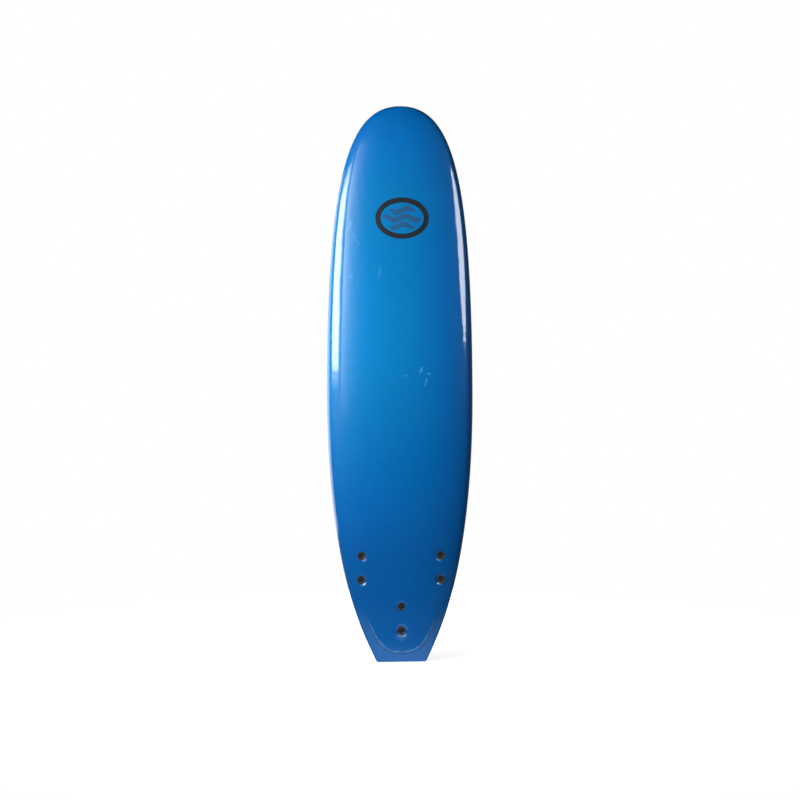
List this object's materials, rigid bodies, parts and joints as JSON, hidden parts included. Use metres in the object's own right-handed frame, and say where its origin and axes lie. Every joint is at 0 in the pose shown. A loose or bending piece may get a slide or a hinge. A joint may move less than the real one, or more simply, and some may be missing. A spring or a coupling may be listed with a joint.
{
  "type": "longboard surfboard",
  "caption": "Soft-top longboard surfboard with a round nose, a wide straight-cut tail, a glossy foam deck and fins held by bolts through the deck.",
  "frame": {"origin": "centre of the flat tail end", "axes": "+Z from tail to nose, -Y out of the deck, +Y out of the bottom towards the fins, +X to the right of someone who looks at the deck with the nose up"},
  "size_m": [0.566, 0.2286, 2.134],
  "materials": {
    "deck_foam": "glossy laminated foam skin, mid blue",
    "slick": "satin polyethylene sheet, white",
    "layer_foam": "closed-cell polyethylene foam",
    "core_foam": "expanded polystyrene beads",
    "wood": "plain sawn softwood",
    "fin_plastic": "moulded black plastic, fine satin texture",
    "plug_plastic": "moulded black plastic",
    "screw_steel": "stainless steel, slightly dulled",
    "insert_brass": "turned brass",
    "print_dark": "charcoal ink under the gloss film, only in the visual model's emblem",
    "print_blue": "slate blue ink under the gloss film, only in the visual model's emblem"
  },
  "bodies": {
    "root": {"deck_skin": "deck_foam", "bottom_slick": "slick", "bottom_foam_layer": "layer_foam", "eps_core_left": "core_foam", "eps_core_centre": "core_foam", "eps_core_right": "core_foam", "stringer_left": "wood", "stringer_centre": "wood", "stringer_right": "wood", "fin_left": "fin_plastic", "fin_right": "fin_plastic", "fin_centre": "fin_plastic", "deck_plug_left_front": "plug_plastic", "fin_screw_left_front": "screw_steel", "fin_insert_left_front": "insert_brass", "deck_plug_left_rear": "plug_plastic", "fin_screw_left_rear": "screw_steel", "fin_insert_left_rear": "insert_brass", "deck_plug_right_front": "plug_plastic", "fin_screw_right_front": "screw_steel", "fin_insert_right_front": "insert_brass", "deck_plug_right_rear": "plug_plastic", "fin_screw_right_rear": "screw_steel", "fin_insert_right_rear": "insert_brass", "deck_plug_centre_front": "plug_plastic", "fin_screw_centre_front": "screw_steel", "fin_insert_centre_front": "insert_brass", "deck_plug_centre_rear": "plug_plastic", "fin_screw_centre_rear": "screw_steel", "fin_insert_centre_rear": "insert_brass"}
  },
  "joints": []
}
